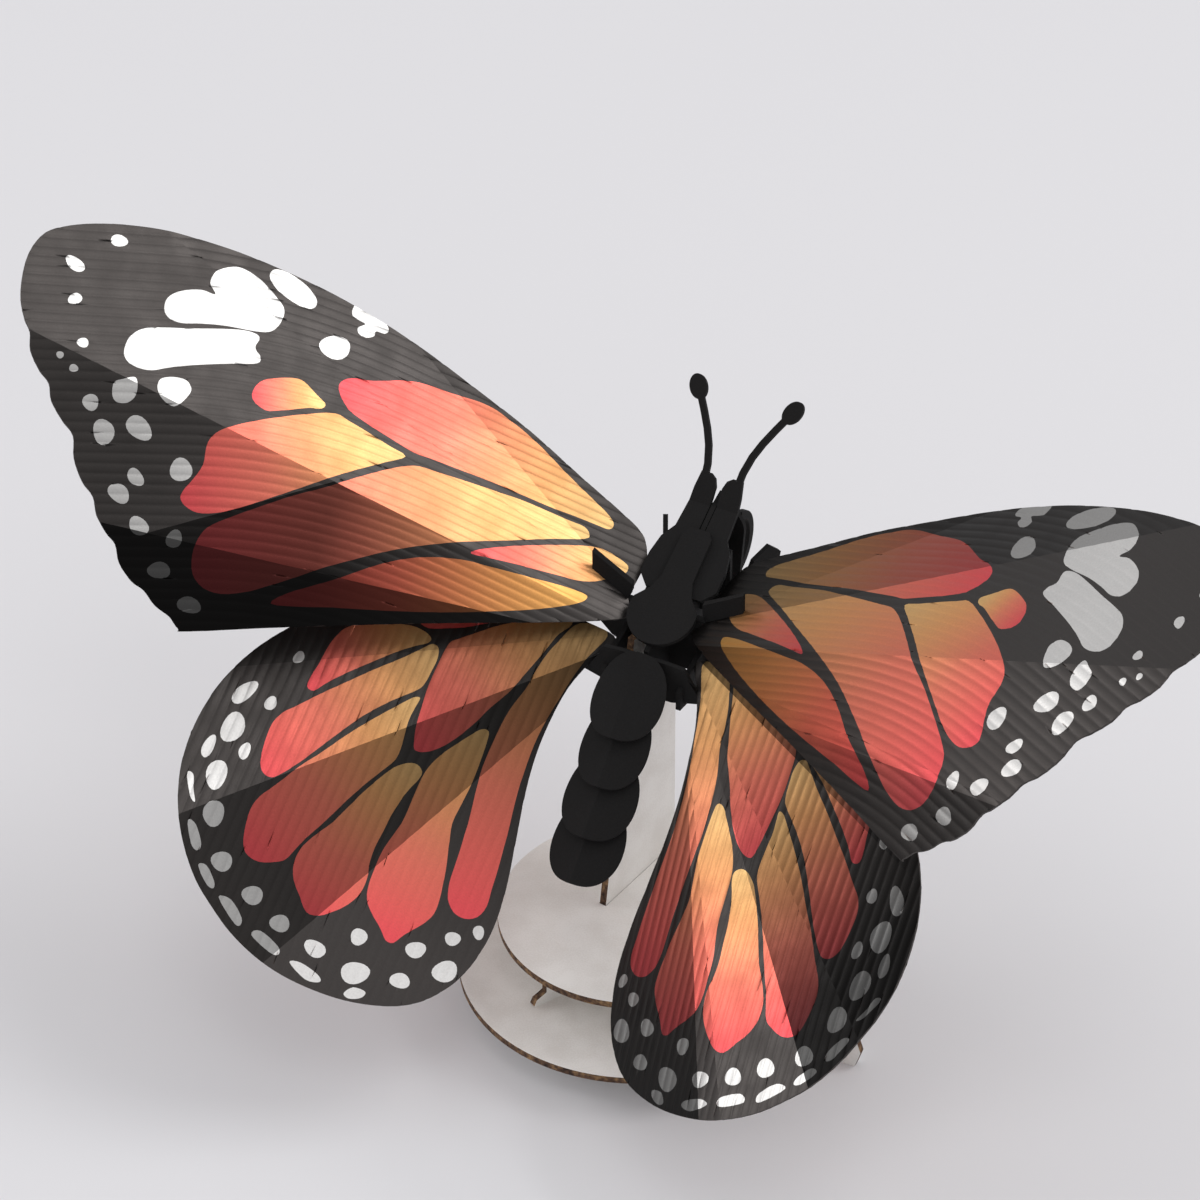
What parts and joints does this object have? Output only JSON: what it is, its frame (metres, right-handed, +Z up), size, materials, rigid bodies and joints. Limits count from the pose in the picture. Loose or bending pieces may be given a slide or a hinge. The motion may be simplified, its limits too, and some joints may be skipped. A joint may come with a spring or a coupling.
{
  "type": "folded card butterfly on a stand",
  "caption": "Folded and cut card butterfly with creased, printed wings and a slotted black body, standing on a round two tier white card stand.",
  "frame": {"origin": "on the floor, under the axis of the two discs, in the middle of the foot boards", "axes": "+X to the butterfly's right wing tip, +Y to its head, +Z up"},
  "size_m": [0.2478, 0.1154, 0.1526],
  "materials": {
    "printed_card": "ribbed, satin print",
    "black_card": "matt",
    "white_board": "matt, browned cut edges"
  },
  "bodies": {
    "root": {"forewing_right": "printed_card", "forewing_left": "printed_card", "hindwing_right": "printed_card", "hindwing_left": "printed_card", "keel_plate": "black_card", "thorax_plate": "black_card", "side_plate_right": "black_card", "side_plate_left": "black_card", "fore_spar": "black_card", "hind_spar": "black_card", "collar_plate": "black_card", "head_plate": "black_card", "antenna_plate_right": "black_card", "antenna_plate_left": "black_card", "shoulder_right": "black_card", "shoulder_left": "black_card", "proboscis": "black_card", "abdomen_1": "black_card", "abdomen_2": "black_card", "abdomen_3": "black_card", "abdomen_4": "black_card", "upright_board": "white_board", "upper_disc": "white_board", "lower_disc": "white_board", "leg_front_right": "white_board", "leg_front_left": "white_board", "leg_tail_left": "white_board", "leg_tail_right": "white_board", "cross_foot": "white_board", "long_foot": "white_board"}
  },
  "joints": []
}
